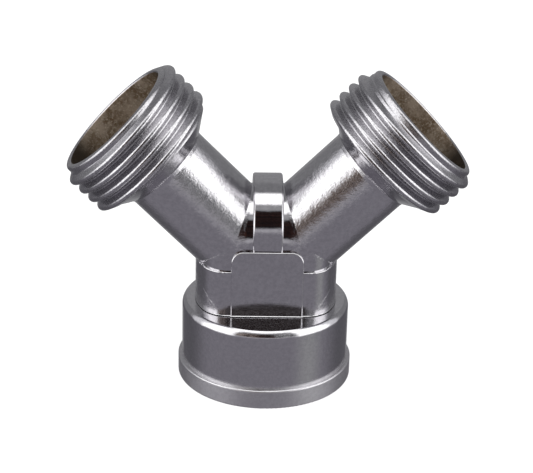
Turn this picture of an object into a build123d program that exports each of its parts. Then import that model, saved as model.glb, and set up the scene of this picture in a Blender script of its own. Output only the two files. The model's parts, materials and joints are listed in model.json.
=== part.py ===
from build123d import *
import math
import os

# Hose splitter: one female garden hose inlet below, two male outlets at 45 degrees above.
# The casting turns on the round coupling nut at the inlet until the joint is tightened.
# Frame: +Z up, -Y is the front, origin at the centre of the inlet's open end. Millimetres.

# --- threads: 3/4 inch garden hose thread, 11.5 turns per inch, right handed ---
PITCH = 25.4 / 11.5
THREAD_FLANK = 30
THREAD_ROUND = 0.5
THREAD_FOOT = 0.3
MALE_CREST_R = 13.4
MALE_ROOT_R = 12.15
FEMALE_CREST_R = 12.4
FEMALE_ROOT_R = 13.6

# --- swivel nut ---
NUT_R = 15.05
NUT_TOP = 14.65
NUT_CROWN = 0.19
NUT_SHOULDER = 1.45
LIP_R = 15.75
LIP_HEIGHT = 3.5
LIP_ROUND = 0.3
NUT_MOUTH_R = 13.9
NUT_MOUTH_DEPTH = 1.2
FEMALE_THREAD_TURNS = 2.4
FEMALE_THREAD_START = 2.4
WASHER_SEAT_Z = 11.3

# --- washer ---
WASHER_R = 12.7
WASHER_BORE_R = 8
WASHER_THICKNESS = 2.5
WASHER_ROUND = 0.3

# --- spigot that the nut turns on, and the split ring that holds it ---
SPIGOT_R = 8.3
SPIGOT_BORE_R = 6.5
SPIGOT_END_Z = 11.5
SPIGOT_CHAMFER = 0.3
RUNNING_CLEARANCE = 0.07
NECK_GAP = 0.12
RING_WIRE_R = 0.7
RING_R = 8.35
RING_Z = 13
RING_OPENING = 30
SPIGOT_GROOVE_CLEARANCE = 0.03
NUT_GROOVE_CLEARANCE = 0.12

# --- neck and its front pad ---
NECK_R = 12.7
NECK_TOP = 23.16
NECK_FLAT_Y = 8.6
NECK_CORNER = 5
NECK_EDGE = 0.15
LEDGE = 0.45
FOOT = 0.1
PAD_HALF_WIDTH = 6.35
PAD_TOP = 27.06
PAD_PROUD = 0.25
PAD_CORNER = 2.1
PAD_EDGE = 0.22

# --- arms and outlets, measured out along each arm from the point where the arms cross ---
ARM_ANGLE = 45
ARM_CROSSING_Z = 21.6
ARM_R = 8.25
ARM_BORE_R = 6.3
CUP_START = 25.7
CUP_START_R = 8.35
CUP_CONE_SLOPE = 1.4
CUP_FLOOR = 28.6
CUP_FLOOR_DEPTH = 1.6
MOUTH = 38.15
MOUTH_BORE_R = 10.75
MOUTH_LIP_R = 12
MOUTH_ROUND = 0.55
MOUTH_BREAK = 0.2
MOUTH_BAND = 1.2
MOUTH_BAND_STEP = 0.2
THREAD_BACK = 28.87
THREAD_START_ANGLE = -130
THREAD_TURNS = 4
THREAD_TAPER_START = 37
RIGHT_OUTLET_TURN = 73

# --- boss across the arms' crossing, and the web that stands on it ---
BOSS_R = 8.2
BOSS_HALF_WIDTH = 6
BOSS_Z = 27.9
WEB_HALF_WIDTH = 2.63
WEB_HALF_DEPTH = 8.4
WEB_TOP = 37.85
WEB_CORNER = 7.8
WEB_EDGE = 0.4

# Helical faces join cleanly with this tolerance.
JOIN_TOLERANCE = 1e-4
# Cuts and buried ends run on by this much past the faces they meet.
OVERLAP = 1


def joined(first, *others):
    """One solid from overlapping ones."""
    return first.fuse(*others, tol=JOIN_TOLERANCE)


def rod(radius, bottom, top):
    """Upright cylinder between two heights."""
    return Pos(0, 0, (bottom + top) / 2) * Cylinder(radius, top - bottom)


def turned(points):
    """Solid turned about Z from a closed outline of (radius, height) points."""
    outline = Polyline(*[(r, 0, z) for r, z in points], close=True)
    return revolve(make_face(outline), Axis.Z)


def circles_at(shape, radius, height):
    """Round edges of a turned shape with this radius at this height."""
    edges = shape.edges().filter_by(GeomType.CIRCLE)
    return edges.filter_by(lambda e: abs(e.radius - radius) < 0.01 and abs(e.center().Z - height) < 0.01)


def thread_ridge(crest_r, root_r, turns):
    """Helical ridge of rounded 60 degree section, with its crest at angle 0 and height 0 at the start."""
    inward = -1 if crest_r < root_r else 1
    flank = math.radians(THREAD_FLANK)
    depth = abs(crest_r - root_r)
    round_depth = THREAD_ROUND * (1 - math.sin(flank))
    round_half = THREAD_ROUND * math.cos(flank)
    foot_half = round_half + (depth - round_depth) * math.tan(flank)
    buried = depth + THREAD_FOOT
    helix = Helix(pitch=PITCH, height=turns * PITCH, radius=crest_r)
    section_plane = Plane(origin=helix @ 0, x_dir=(inward, 0, 0), z_dir=helix % 0)
    crest = ThreePointArc((-round_depth, -round_half), (0, 0), (-round_depth, round_half))
    foot = Polyline(
        crest @ 1,
        (-depth, foot_half),
        (-buried, foot_half),
        (-buried, -foot_half),
        (-depth, -foot_half),
        crest @ 0,
    )
    section = make_face(section_plane * (Curve() + [crest, foot]))
    return sweep(section, path=helix, is_frenet=True)


def arm_frame(side):
    """Location with +Z out along an arm and +Y to the front; side is -1 for left and 1 for right."""
    tilt = math.radians(ARM_ANGLE)
    out = (side * math.sin(tilt), 0, math.cos(tilt))
    across = (-math.cos(tilt), 0, side * math.sin(tilt))
    return Plane(origin=(0, 0, ARM_CROSSING_Z), x_dir=across, z_dir=out).location


def outlet():
    """Outside of an outlet in its arm's frame: cone, threaded wall and rounded mouth."""
    cone_end = CUP_START + (MALE_ROOT_R - CUP_START_R) / CUP_CONE_SLOPE
    cup = turned([
        (0, CUP_START - 2 * OVERLAP),
        (ARM_R - 0.2, CUP_START - 2 * OVERLAP),
        (CUP_START_R, CUP_START),
        (MALE_ROOT_R, cone_end),
        (MALE_ROOT_R, MOUTH - MOUTH_BAND - MOUTH_BAND_STEP),
        (MOUTH_LIP_R, MOUTH - MOUTH_BAND),
        (MOUTH_LIP_R, MOUTH),
        (0, MOUTH),
    ])
    cup = fillet(circles_at(cup, MOUTH_LIP_R, MOUTH), MOUTH_ROUND)
    start = THREAD_BACK + PITCH * THREAD_START_ANGLE / 360
    ridge = thread_ridge(MALE_CREST_R, MALE_ROOT_R, THREAD_TURNS)
    threaded = joined(cup, Pos(0, 0, start) * Rot(0, 0, THREAD_START_ANGLE) * ridge)
    return threaded - lead_in()


def lead_in():
    """Waste outside the 45 degree chamfer that tapers the thread into the mouth."""
    outer_r = MALE_CREST_R + 2 * OVERLAP
    start = THREAD_TAPER_START - (outer_r - MALE_CREST_R)
    return turned([
        (MOUTH_LIP_R, MOUTH + OVERLAP),
        (MOUTH_LIP_R, THREAD_TAPER_START + MALE_CREST_R - MOUTH_LIP_R),
        (outer_r, start),
        (outer_r, MOUTH + OVERLAP),
    ])


def outlet_core():
    """Waterway of one arm and its outlet in the arm's frame."""
    return turned([
        (0, -OVERLAP),
        (ARM_BORE_R, -OVERLAP),
        (ARM_BORE_R, CUP_FLOOR - CUP_FLOOR_DEPTH),
        (MOUTH_BORE_R, CUP_FLOOR),
        (MOUTH_BORE_R, MOUTH - MOUTH_BREAK),
        (MOUTH_BORE_R + 2 * MOUTH_BREAK, MOUTH + MOUTH_BREAK),
        (0, MOUTH + MOUTH_BREAK),
    ])


def pad():
    """Raised pad on the neck's front, taller than the neck, with round upper corners."""
    bottom = NUT_TOP + NECK_GAP
    height = PAD_TOP - bottom
    outline = Pos(0, height / 2) * Rectangle(2 * PAD_HALF_WIDTH, height)
    outline = fillet(outline.vertices().group_by(Axis.Y)[-1], PAD_CORNER)
    front = Plane(origin=(0, 0, bottom), x_dir=(1, 0, 0), z_dir=(0, -1, 0))
    block = extrude(front * outline, NECK_FLAT_Y + PAD_PROUD)
    rim = block.faces().sort_by(Axis.Y)[0].edges().filter_by(lambda e: e.center().Z > bottom + 0.1)
    return fillet(rim, PAD_EDGE)


def neck_section(inset=0):
    """Round outline of the neck with a flat front and back and round corners."""
    radius = NECK_R - inset
    section = Circle(radius) & Rectangle(2 * radius, 2 * (NECK_FLAT_Y - inset))
    return fillet(section.vertices(), NECK_CORNER - inset)


def neck():
    """Neck column with a softened upper edge."""
    bottom = NUT_TOP + NECK_GAP
    column = Pos(0, 0, bottom) * extrude(neck_section(), NECK_TOP - bottom)
    return fillet(column.edges().group_by(Axis.Z)[-1], NECK_EDGE)


def root():
    """Upper neck between the ledge and the arms, set back from the flats below."""
    height = BOSS_Z - NECK_TOP + OVERLAP
    return Pos(0, 0, NECK_TOP - OVERLAP) * extrude(neck_section(LEDGE), height)


def foot():
    """Small slope round the bottom of the neck and its pad."""
    section = neck_section() + Pos(0, -NECK_FLAT_Y) * Rectangle(2 * PAD_HALF_WIDTH, 2 * PAD_PROUD)
    section = offset(section, FOOT, kind=Kind.INTERSECTION)
    return Pos(0, 0, NUT_TOP + NECK_GAP) * extrude(section, FOOT, taper=45)


def boss():
    """Round boss across the crossing of the arms."""
    return Pos(0, 0, BOSS_Z) * Rot(0, 90, 0) * Cylinder(BOSS_R, 2 * BOSS_HALF_WIDTH)


def web():
    """Round-cornered web that closes the crotch between the arms."""
    height = WEB_TOP - NECK_TOP
    outline = Pos(0, NECK_TOP + height / 2) * Rectangle(2 * WEB_HALF_DEPTH, height)
    outline = fillet(outline.vertices().group_by(Axis.Y)[-1], WEB_CORNER)
    block = extrude(Plane.YZ * outline, WEB_HALF_WIDTH, both=True)
    rims = block.edges().filter_by(lambda e: e.center().Z > NECK_TOP + 0.1 and abs(e.center().X) > 1)
    return fillet(rims, WEB_EDGE)


def ring_groove(clearance):
    """Space for the retaining ring and the play around it."""
    half = RING_WIRE_R + clearance
    return rod(RING_R + half, RING_Z - half, RING_Z + half) - rod(RING_R - half, RING_Z - half, RING_Z + half)


def spigot():
    """Stub below the neck that passes through the nut and carries the ring."""
    stub = rod(SPIGOT_R, SPIGOT_END_Z, NECK_TOP - 2 * OVERLAP)
    return chamfer(circles_at(stub, SPIGOT_R, SPIGOT_END_Z), SPIGOT_CHAMFER)


def make_y_body():
    """Casting: spigot, neck, web, pad and two arms that end in threaded outlets."""
    solids = [neck(), root(), boss(), web(), pad(), foot(), spigot()]
    cores = [rod(SPIGOT_BORE_R, SPIGOT_END_Z - OVERLAP, ARM_CROSSING_Z)]
    end = outlet()
    for side, turn in ((-1, 0), (1, RIGHT_OUTLET_TURN)):
        frame = arm_frame(side)
        solids.append(frame * rod(ARM_R, 0, CUP_START))
        solids.append(frame * Rot(0, 0, turn) * end)
        cores.append(frame * outlet_core())
    body = joined(*solids)
    for core in cores:
        body -= core
    return body - ring_groove(SPIGOT_GROOVE_CLEARANCE)


def make_swivel_nut():
    """Round coupling nut: lip, female thread, washer recess and the hub that turns on the spigot."""
    crown = NUT_TOP + NUT_CROWN
    shell = turned([
        (0, 0),
        (LIP_R, 0),
        (LIP_R, LIP_HEIGHT),
        (NUT_R, LIP_HEIGHT),
        (NUT_R, crown),
        (0, crown),
    ])
    shell = fillet(circles_at(shell, NUT_R, crown), NUT_SHOULDER)
    shell -= rod(NUT_R, NUT_TOP, crown)
    lip_edges = circles_at(shell, LIP_R, 0) + circles_at(shell, LIP_R, LIP_HEIGHT)
    shell = fillet(lip_edges, LIP_ROUND)
    cavity = turned([
        (0, -OVERLAP),
        (NUT_MOUTH_R, -OVERLAP),
        (NUT_MOUTH_R, NUT_MOUTH_DEPTH),
        (FEMALE_ROOT_R, NUT_MOUTH_DEPTH + NUT_MOUTH_R - FEMALE_ROOT_R),
        (FEMALE_ROOT_R, WASHER_SEAT_Z),
        (0, WASHER_SEAT_Z),
    ])
    hub_bore = rod(SPIGOT_R + RUNNING_CLEARANCE, WASHER_SEAT_Z - OVERLAP, NUT_TOP + OVERLAP)
    nut = shell - cavity - hub_bore - ring_groove(NUT_GROOVE_CLEARANCE)
    thread = thread_ridge(FEMALE_CREST_R, FEMALE_ROOT_R, FEMALE_THREAD_TURNS)
    return joined(nut, Pos(0, 0, FEMALE_THREAD_START) * thread)


def make_retaining_ring():
    """Split round-wire ring, half in the spigot's groove and half in the nut's."""
    wire = Pos(RING_R, 0, RING_Z) * Rot(90, 0, 0) * Circle(RING_WIRE_R)
    ring = revolve(wire, Axis.Z, revolution_arc=360 - RING_OPENING)
    return Rot(0, 0, 90 + RING_OPENING / 2) * ring


def make_hose_washer():
    """Flat rubber washer above the female thread."""
    top = WASHER_SEAT_Z
    bottom = top - WASHER_THICKNESS
    washer = rod(WASHER_R, bottom, top) - rod(WASHER_BORE_R, bottom, top)
    edges = washer.edges().filter_by(GeomType.CIRCLE)
    return fillet(edges, WASHER_ROUND)


PARTS = {
    "y_body": make_y_body,
    "swivel_nut": make_swivel_nut,
    "retaining_ring": make_retaining_ring,
    "hose_washer": make_hose_washer,
}

os.makedirs("parts", exist_ok=True)
for name, make in PARTS.items():
    solid = make()
    solid.label = name
    export_step(solid, f"parts/{name}.step")
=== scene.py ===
import json
import math
import bpy
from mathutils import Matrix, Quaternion, Vector


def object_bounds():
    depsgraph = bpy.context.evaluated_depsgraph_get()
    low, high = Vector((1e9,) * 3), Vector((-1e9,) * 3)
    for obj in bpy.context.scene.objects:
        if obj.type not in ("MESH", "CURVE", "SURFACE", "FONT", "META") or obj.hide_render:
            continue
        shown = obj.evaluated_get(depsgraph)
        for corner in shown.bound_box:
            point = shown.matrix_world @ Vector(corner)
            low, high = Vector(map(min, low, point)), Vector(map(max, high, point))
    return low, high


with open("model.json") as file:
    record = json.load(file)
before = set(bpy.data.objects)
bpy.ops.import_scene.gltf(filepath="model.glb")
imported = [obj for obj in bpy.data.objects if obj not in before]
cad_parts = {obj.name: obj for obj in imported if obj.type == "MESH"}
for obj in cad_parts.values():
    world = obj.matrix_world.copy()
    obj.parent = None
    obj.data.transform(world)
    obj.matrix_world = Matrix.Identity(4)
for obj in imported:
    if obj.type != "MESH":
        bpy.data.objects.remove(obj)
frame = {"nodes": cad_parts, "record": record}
cad_low, cad_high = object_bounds()

MM = 0.001
nodes = frame["nodes"]

# --- places on the splitter: the left mouth from the frame, the rest as the CAD bodies have them ---
mounts = {mount["name"]: mount for mount in frame["record"]["mounts"]}
mouth_x, _, mouth_z = mounts["left_outlet_bore"]["pos_m"]
BORE_R = mounts["left_outlet_bore"]["dims"]["r_mm"] * MM
CROSSING = Vector((0, 0, mouth_z - abs(mouth_x)))
ARM_ANGLE = math.radians(45)
ARM_R = 8.25 * MM
ARM_BORE_R = 6.3 * MM
SPIGOT_BORE_R = 6.5 * MM
CONE_START = 25.7 * MM
CONE_START_R = 8.35 * MM
CONE_SLOPE = 1.4
THREAD_START = 27.8 * MM
THREAD_CREST_R = 13.4 * MM
THREAD_ROOT_R = 12.15 * MM
WEB_EDGE = 2.6 * MM
NUT_TOP = 14.65 * MM
LIP_TOP = 3.5 * MM


# =====================================================================================
# Node helpers
# =====================================================================================
class Tree:
    """Short calls for building a shader node tree."""

    def __init__(self, tree):
        self.nodes = tree.nodes
        self.links = tree.links
        self.nodes.clear()

    def put(self, socket, value):
        """Connects a socket to an output, or gives it a plain value."""
        if isinstance(value, bpy.types.NodeSocket):
            self.links.new(value, socket)
        elif value is not None:
            socket.default_value = value

    def node(self, kind, **settings):
        """New node with these properties."""
        made = self.nodes.new(kind)
        for name, value in settings.items():
            setattr(made, name, value)
        return made

    def math(self, operation, a, b=None, c=None):
        """Result of a scalar operation."""
        made = self.node("ShaderNodeMath", operation=operation)
        for socket, value in zip(made.inputs, (a, b, c)):
            self.put(socket, value)
        return made.outputs[0]

    def vector(self, operation, a, b=None):
        """Result of a vector operation."""
        made = self.node("ShaderNodeVectorMath", operation=operation)
        self.put(made.inputs[0], a)
        self.put(made.inputs[1], b)
        scalar = operation in ("DOT_PRODUCT", "LENGTH")
        return made.outputs["Value" if scalar else "Vector"]

    def axes(self, vector):
        """X, Y and Z of a vector."""
        made = self.node("ShaderNodeSeparateXYZ")
        self.put(made.inputs[0], vector)
        return made.outputs

    def step(self, value, low, high):
        """Smooth rise from 0 at low to 1 at high; low may be above high for a fall."""
        made = self.node("ShaderNodeMapRange", interpolation_type="SMOOTHSTEP")
        flip = low > high
        self.put(made.inputs["Value"], value)
        made.inputs["From Min"].default_value = min(low, high)
        made.inputs["From Max"].default_value = max(low, high)
        made.inputs["To Min"].default_value = 1 if flip else 0
        made.inputs["To Max"].default_value = 0 if flip else 1
        return made.outputs["Result"]

    def band(self, value, low, high, soft):
        """1 between low and high, with soft edges."""
        return self.math(
            "MULTIPLY", self.step(value, low - soft, low + soft), self.step(value, high + soft, high - soft)
        )

    def range(self, value, low, high):
        """0..1 value stretched to low..high."""
        return self.math("MULTIPLY_ADD", value, high - low, low)

    def mix(self, share, a, b):
        """Colour a turned into colour b by share."""
        made = self.node("ShaderNodeMix", data_type="RGBA")
        self.put(made.inputs["Factor"], share)
        for name, value in (("A", a), ("B", b)):
            socket = [s for s in made.inputs if s.name == name and s.type == "RGBA"][0]
            self.put(socket, (*value, 1) if isinstance(value, tuple) else value)
        return [s for s in made.outputs if s.type == "RGBA"][0]

    def noise(self, coordinates, size, detail=2, roughness=0.5, stretch=None):
        """Noise with features of about this size in metres."""
        if stretch:
            mapping = self.node("ShaderNodeMapping")
            self.put(mapping.inputs["Vector"], coordinates)
            mapping.inputs["Scale"].default_value = stretch
            coordinates = mapping.outputs[0]
        made = self.node("ShaderNodeTexNoise")
        self.put(made.inputs["Vector"], coordinates)
        made.inputs["Scale"].default_value = 1 / size
        made.inputs["Detail"].default_value = detail
        made.inputs["Roughness"].default_value = roughness
        return made.outputs["Fac"]

    def bump(self, height, depth, normal=None):
        """Normal bent by a 0..1 height that is this deep in metres."""
        made = self.node("ShaderNodeBump")
        made.inputs["Strength"].default_value = 1
        made.inputs["Distance"].default_value = depth
        self.put(made.inputs["Height"], height)
        self.put(made.inputs["Normal"], normal)
        return made.outputs[0]


def new_material(name):
    """Material with a Principled shader wired to its output."""
    material = bpy.data.materials.new(name)
    material.use_nodes = True
    tree = Tree(material.node_tree)
    shader = tree.node("ShaderNodeBsdfPrincipled")
    output = tree.node("ShaderNodeOutputMaterial")
    tree.put(output.inputs["Surface"], shader.outputs[0])
    return material, tree, shader


def coat(node, material):
    """Gives a CAD node this material all over."""
    slots = nodes[node].data.materials
    slots.clear()
    slots.append(material)


# =====================================================================================
# Materials
# =====================================================================================
def arm_distances(tree, place):
    """Distances from the left and the right arm's axis, and distances out along them."""
    offset = tree.vector("SUBTRACT", place, CROSSING)
    squared = tree.vector("DOT_PRODUCT", offset, offset)
    radial, along = [], []
    for side in (-1, 1):
        out = Vector((side * math.sin(ARM_ANGLE), 0, math.cos(ARM_ANGLE)))
        s = tree.vector("DOT_PRODUCT", offset, out)
        radial.append(tree.math("SQRT", tree.math("SUBTRACT", squared, tree.math("MULTIPLY", s, s))))
        along.append(s)
    return radial, along


def axis_distance(tree, place):
    """Distance from the upright axis, and height."""
    x, y, z = tree.axes(place)
    flat = tree.math("ADD", tree.math("POWER", x, 2), tree.math("POWER", y, 2))
    return tree.math("SQRT", flat), z


def in_waterways(tree, place, radial, along):
    """1 on the walls of the waterways and cups, 0 on the outside."""
    from_axis, height = axis_distance(tree, place)
    inside = tree.math(
        "MULTIPLY",
        tree.step(from_axis, SPIGOT_BORE_R + 0.4 * MM, SPIGOT_BORE_R + 0.3 * MM),
        tree.step(height, CROSSING.z, CROSSING.z - 2 * MM),
    )
    for r, s in zip(radial, along):
        within_arm = tree.step(r, ARM_BORE_R + 0.2 * MM, ARM_BORE_R + 0.1 * MM)
        arm = tree.math("MULTIPLY", within_arm, tree.step(s, -0.5 * MM, 0))
        outer_cone = tree.math("MULTIPLY_ADD", s, CONE_SLOPE, CONE_START_R - CONE_SLOPE * CONE_START)
        below_cone = tree.step(tree.math("SUBTRACT", outer_cone, r), 0.4 * MM, 0.6 * MM)
        within_bore = tree.step(r, BORE_R + 0.05 * MM, BORE_R + 0.02 * MM)
        cup = tree.math("MULTIPLY", within_bore, below_cone)
        cup = tree.math("MULTIPLY", cup, tree.step(s, 26 * MM, 27 * MM))
        inside = tree.math("MAXIMUM", inside, tree.math("MAXIMUM", arm, cup))
    return inside


def on_threads(tree, along):
    """1 on the outlets' threaded walls and rims."""
    return tree.step(tree.math("MAXIMUM", *along), THREAD_START, THREAD_START + 0.8 * MM)


def on_arms(tree, place, radial):
    """1 on the round arms, 0 on the web, the pad and the lower neck."""
    x, _, _ = tree.axes(place)
    beside_web = tree.step(tree.math("ABSOLUTE", x), WEB_EDGE, WEB_EDGE + 0.6 * MM)
    nearest = tree.math("MINIMUM", *radial)
    round_wall = tree.step(nearest, ARM_R + 0.35 * MM, ARM_R + 0.1 * MM)
    return tree.math("MULTIPLY", beside_web, round_wall)


def chrome_casting():
    """Plated zinc casting: grainy chrome outside, thin brownish plating inside the waterways, painted shade
    on the cup walls near the plane through both arms and in the thread grooves.
    """
    material, tree, shader = new_material("chrome_casting")
    place = tree.node("ShaderNodeTexCoord").outputs["Object"]
    radial, along = arm_distances(tree, place)
    inside = in_waterways(tree, place, radial, along)
    threads = on_threads(tree, along)
    arms = on_arms(tree, place, radial)
    below_crest = tree.step(
        tree.math("MINIMUM", *radial), THREAD_CREST_R - 0.1 * MM, THREAD_ROOT_R + 0.25 * MM
    )
    groove = tree.math("MULTIPLY", threads, below_crest)
    _, y, z = tree.axes(place)
    depth = tree.math("ABSOLUTE", y)
    foot = tree.step(z, NUT_TOP + 5.35 * MM, NUT_TOP + 0.85 * MM)
    tree.put(shader.inputs["Metallic"], tree.range(inside, 1.0, 0.55))

    # stained plating inside; the walls darker towards the plane through both arms are painted shade
    stain = tree.noise(place, 2.8 * MM, detail=5, roughness=0.68)
    speck = tree.noise(place, 0.4 * MM, detail=3, roughness=0.7)
    raw = tree.mix(tree.step(stain, 0.35, 0.65), (0.27, 0.19, 0.12), (0.62, 0.51, 0.40))
    raw = tree.mix(tree.step(speck, 0.48, 0.70), raw, (0.78, 0.68, 0.56))
    # painted shade: the cup walls darken towards the plane through both arms
    raw = tree.mix(tree.step(depth, 10.0 * MM, 3.0 * MM), raw, (0.05, 0.04, 0.03))
    # chrome outside, scuffed on the threads, with painted shade in the thread grooves
    smoke = tree.step(tree.noise(place, 0.7 * MM, detail=4, roughness=0.7), 0.3, 0.7)
    chrome = tree.mix(smoke, (0.60, 0.59, 0.61), (0.71, 0.70, 0.72))
    scuffs = tree.step(tree.noise(place, 0.35 * MM, detail=3, roughness=0.7), 0.32, 0.62)
    dull = tree.mix(scuffs, (0.34, 0.335, 0.35), (0.62, 0.61, 0.63))
    chrome = tree.mix(tree.math("MULTIPLY", threads, 0.6), chrome, dull)
    # painted shade: the thread grooves darker than the crests
    chrome = tree.mix(tree.math("MULTIPLY", groove, 0.25), chrome, (0.40, 0.39, 0.41))
    tree.put(shader.inputs["Base Color"], tree.mix(inside, chrome, raw))

    haze = tree.range(tree.noise(place, 0.9 * MM, detail=3), 0.03, 0.13)
    haze = tree.math("MULTIPLY_ADD", threads, 0.12, haze)
    haze = tree.math("MULTIPLY_ADD", groove, 0.06, haze)
    haze = tree.math("MULTIPLY_ADD", foot, 0.10, haze)
    tree.put(shader.inputs["Roughness"], tree.math("MULTIPLY_ADD", inside, 0.16, haze))

    # the cast skin shows through on the arms and threads, less on the flat and finished parts
    waves = tree.noise(place, 2.6 * MM, detail=1)
    peel = tree.noise(place, 0.8 * MM, detail=4, roughness=0.72)
    grain = tree.noise(place, 0.25 * MM, detail=2, roughness=0.6)
    grainy = tree.math("MAXIMUM", threads, arms)
    peel_depth = tree.math("MULTIPLY_ADD", threads, -0.45, tree.range(grainy, 0.15, 1.0))
    peel = tree.math("MULTIPLY", peel, peel_depth)
    grain = tree.math("MULTIPLY", grain, tree.range(grainy, 0.20, 1.0))
    normal = tree.bump(waves, 0.018 * MM)
    normal = tree.bump(peel, 0.060 * MM, normal)
    normal = tree.bump(grain, 0.010 * MM, normal)
    tree.put(shader.inputs["Normal"], normal)
    return material


def chrome_nut():
    """Plated turned nut: smooth chrome with a faint skin and turning lines."""
    material, tree, shader = new_material("chrome_nut")
    place = tree.node("ShaderNodeTexCoord").outputs["Object"]
    smoke = tree.noise(place, 0.6 * MM, detail=4, roughness=0.7)
    tree.put(
        shader.inputs["Base Color"],
        tree.mix(tree.step(smoke, 0.3, 0.7), (0.61, 0.60, 0.62), (0.70, 0.69, 0.71)),
    )
    shader.inputs["Metallic"].default_value = 1
    _, height = axis_distance(tree, place)
    lip = tree.step(height, LIP_TOP + 1.2 * MM, LIP_TOP)
    top = tree.step(height, NUT_TOP - 2.15 * MM, NUT_TOP - 0.25 * MM)
    haze = tree.range(tree.noise(place, 1.5 * MM, detail=3), 0.07, 0.15)
    haze = tree.math("MULTIPLY_ADD", top, 0.06, haze)
    tree.put(shader.inputs["Roughness"], tree.math("MULTIPLY_ADD", lip, 0.26, haze))
    waves = tree.noise(place, 3.0 * MM, detail=1)
    peel = tree.noise(place, 0.5 * MM, detail=3, roughness=0.6)
    lines = tree.noise(place, 0.12 * MM, detail=1, stretch=(0.02, 0.02, 1))
    normal = tree.bump(waves, 0.012 * MM)
    peel = tree.math("MULTIPLY", peel, tree.range(lip, 1.0, 3.0))
    normal = tree.bump(peel, 0.006 * MM, normal)
    normal = tree.bump(lines, 0.001 * MM, normal)
    tree.put(shader.inputs["Normal"], normal)
    return material


def spring_wire():
    """Drawn spring wire, satin, with fine lines along it."""
    material, tree, shader = new_material("spring_wire")
    place = tree.node("ShaderNodeTexCoord").outputs["Object"]
    streaks = tree.noise(place, 0.3 * MM, detail=3, stretch=(1, 1, 4))
    tree.put(shader.inputs["Base Color"], tree.mix(streaks, (0.30, 0.30, 0.30), (0.55, 0.55, 0.54)))
    shader.inputs["Metallic"].default_value = 1
    tree.put(shader.inputs["Roughness"], tree.range(streaks, 0.25, 0.45))
    tree.put(shader.inputs["Normal"], tree.bump(streaks, 0.004 * MM))
    return material


def washer_rubber():
    """Moulded black rubber with a dusty, slightly pitted skin."""
    material, tree, shader = new_material("washer_rubber")
    place = tree.node("ShaderNodeTexCoord").outputs["Object"]
    dust = tree.noise(place, 2.0 * MM, detail=5, roughness=0.7)
    skin = tree.mix(tree.step(dust, 0.4, 0.75), (0.018, 0.018, 0.02), (0.06, 0.058, 0.055))
    tree.put(shader.inputs["Base Color"], skin)
    tree.put(shader.inputs["Roughness"], tree.range(dust, 0.5, 0.8))
    pits = tree.noise(place, 0.35 * MM, detail=3)
    tree.put(shader.inputs["Normal"], tree.bump(pits, 0.02 * MM))
    return material


coat("y_body", chrome_casting())
coat("swivel_nut", chrome_nut())
coat("retaining_ring", spring_wire())
coat("hose_washer", washer_rubber())


# =====================================================================================
# Studio: what the chrome reflects
# =====================================================================================
def panel(tree, base, azimuth, elevation, sides, heights, color, soft=(4, 4)):
    """Lays a soft-edged patch of light, between two azimuths and two elevations in degrees, over base."""
    share = tree.math(
        "MULTIPLY", tree.band(azimuth, *sides, soft[0]), tree.band(elevation, *heights, soft[1])
    )
    return tree.mix(share, base, color)


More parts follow.
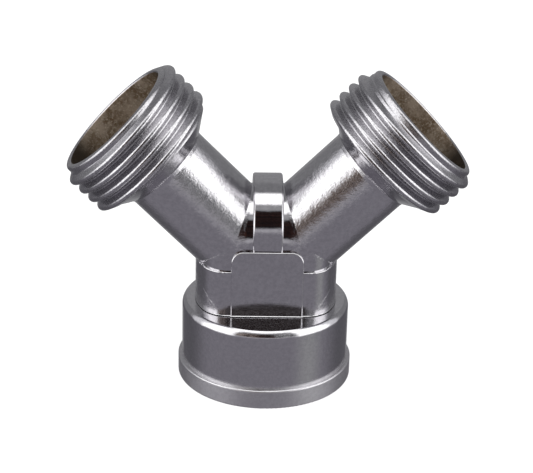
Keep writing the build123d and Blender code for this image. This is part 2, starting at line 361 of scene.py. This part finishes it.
def studio_world():
    """Grey table below, dark room ahead, white boxes at both sides and overhead; white to the camera."""
    world = bpy.data.worlds.new("studio")
    bpy.context.scene.world = world
    world.use_nodes = True
    tree = Tree(world.node_tree)
    direction = tree.node("ShaderNodeTexCoord").outputs["Generated"]
    x, y, z = tree.axes(direction)
    turn = tree.math("ARCTAN2", x, tree.math("MULTIPLY", y, -1.0))
    azimuth = tree.math("MULTIPLY", turn, 180 / math.pi)
    away = tree.math("ABSOLUTE", azimuth)
    elevation = tree.math("MULTIPLY", tree.math("ARCSINE", z), 180 / math.pi)

    light = tree.mix(tree.step(elevation, -14, -6), (0.222, 0.213, 0.242), (0.23, 0.23, 0.24))
    # table at the sides, a little lighter, and behind the object, darker
    light = panel(tree, light, azimuth, elevation, (48, 78), (-44, -14), (0.31, 0.31, 0.32), (14, 6))
    light = panel(tree, light, away, elevation, (102, 400), (-100, -10), (0.115, 0.112, 0.125), (24, 5))
    # lit strip of table ahead
    light = panel(tree, light, away, elevation, (-60, 42), (-13, -4), (0.44, 0.43, 0.46), (6, 3))
    # dim, cluttered room ahead: brownish at the left, nearly black in the middle, grey at the right
    clutter = tree.step(tree.noise(direction, 0.07, detail=4, roughness=0.7), 0.48, 0.58)
    left_room = tree.mix(clutter, (0.010, 0.006, 0.005), (0.50, 0.41, 0.37))
    right_room = tree.mix(clutter, (0.012, 0.011, 0.013), (0.62, 0.62, 0.64))
    dark_room = tree.mix(clutter, (0.007, 0.006, 0.007), (0.045, 0.022, 0.018))
    light = panel(tree, light, azimuth, elevation, (-42, -10), (-4, 46), left_room, (4, 3))
    light = panel(tree, light, azimuth, elevation, (10, 39), (-4, 46), right_room, (4, 3))
    light = panel(tree, light, azimuth, elevation, (-13, 12), (-1, 43), dark_room, (3, 2))
    light = panel(tree, light, away, elevation, (5, 12), (1, 15), (0.06, 0.026, 0.02), (3, 4))
    # grey between the room and the overhead box
    light = panel(tree, light, away, elevation, (-60, 44), (45, 58), (0.38, 0.38, 0.39), (5, 3))
    # side boxes and their dimmer far ends
    light = panel(tree, light, away, elevation, (42, 112), (-14, 56), (0.80, 0.80, 0.83), (3, 7))
    light = panel(tree, light, away, elevation, (43, 92), (-14, 60), (1.9, 1.9, 1.9), (3, 7))
    # overhead box, ahead of the object only
    overhead = tree.math("MULTIPLY", tree.step(elevation, 56, 64), tree.step(y, 0.12, -0.04))
    light = tree.mix(overhead, light, (1.8, 1.8, 1.8))
    # grey backdrop behind the object
    light = panel(tree, light, away, elevation, (160, 400), (-45, 50), (0.30, 0.30, 0.31), (7, 8))

    surroundings = tree.node("ShaderNodeBackground")
    tree.put(surroundings.inputs["Color"], light)
    backdrop = tree.node("ShaderNodeBackground")
    backdrop.inputs["Color"].default_value = (1, 1, 1, 1)
    choice = tree.node("ShaderNodeMixShader")
    tree.put(choice.inputs[0], tree.node("ShaderNodeLightPath").outputs["Is Camera Ray"])
    tree.put(choice.inputs[1], surroundings.outputs[0])
    tree.put(choice.inputs[2], backdrop.outputs[0])
    tree.put(tree.node("ShaderNodeOutputWorld").inputs["Surface"], choice.outputs[0])


def floor():
    """Pale floor with a faint shadow, seen from above only."""
    bpy.ops.mesh.primitive_circle_add(vertices=96, radius=6, fill_type="NGON", location=(0, 0, cad_low.z))
    plane = bpy.context.object
    plane.name = "floor"
    material = bpy.data.materials.new("pale_floor")
    material.use_nodes = True
    tree = Tree(material.node_tree)
    glow = tree.node("ShaderNodeEmission")
    glow.inputs["Color"].default_value = (1, 1, 1, 1)
    glow.inputs["Strength"].default_value = 0.86
    matte = tree.node("ShaderNodeBsdfDiffuse")
    matte.inputs["Color"].default_value = (0.35, 0.35, 0.35, 1)
    both = tree.node("ShaderNodeAddShader")
    tree.put(both.inputs[0], glow.outputs[0])
    tree.put(both.inputs[1], matte.outputs[0])
    clear = tree.node("ShaderNodeBsdfTransparent")
    choice = tree.node("ShaderNodeMixShader")
    tree.put(choice.inputs[0], tree.node("ShaderNodeNewGeometry").outputs["Backfacing"])
    tree.put(choice.inputs[1], both.outputs[0])
    tree.put(choice.inputs[2], clear.outputs[0])
    tree.put(tree.node("ShaderNodeOutputMaterial").inputs["Surface"], choice.outputs[0])
    plane.data.materials.append(material)
    plane.visible_glossy = False
    plane.visible_diffuse = False
    plane.visible_shadow = False


studio_world()
floor()
bpy.context.scene.view_settings.view_transform = "Standard"


# =====================================================================================
# Camera
# =====================================================================================
CAMERA_DISTANCE = 0.300
CAMERA_AZIMUTH = math.radians(-1.81)
CAMERA_ELEVATION = math.radians(23.55)
CAMERA_ROLL = math.radians(1.35)
CAMERA_TARGET = Vector((0, 0, 26.37 * MM))
CAMERA_LENS = 113.4

camera = bpy.data.objects.new("camera", bpy.data.cameras.new("camera"))
bpy.context.scene.collection.objects.link(camera)
back = Vector((
    math.sin(CAMERA_AZIMUTH) * math.cos(CAMERA_ELEVATION),
    -math.cos(CAMERA_AZIMUTH) * math.cos(CAMERA_ELEVATION),
    math.sin(CAMERA_ELEVATION),
))
camera.location = CAMERA_TARGET + CAMERA_DISTANCE * back
camera.rotation_mode = "QUATERNION"
aim = (-back).to_track_quat("-Z", "Y")
camera.rotation_quaternion = aim @ Quaternion((0, 0, 1), CAMERA_ROLL)
camera.data.lens = CAMERA_LENS
camera.data.sensor_width = 36
camera.data.shift_x = -0.0006
camera.data.dof.use_dof = False
camera.data.clip_start = 0.01
bpy.context.scene.camera = camera
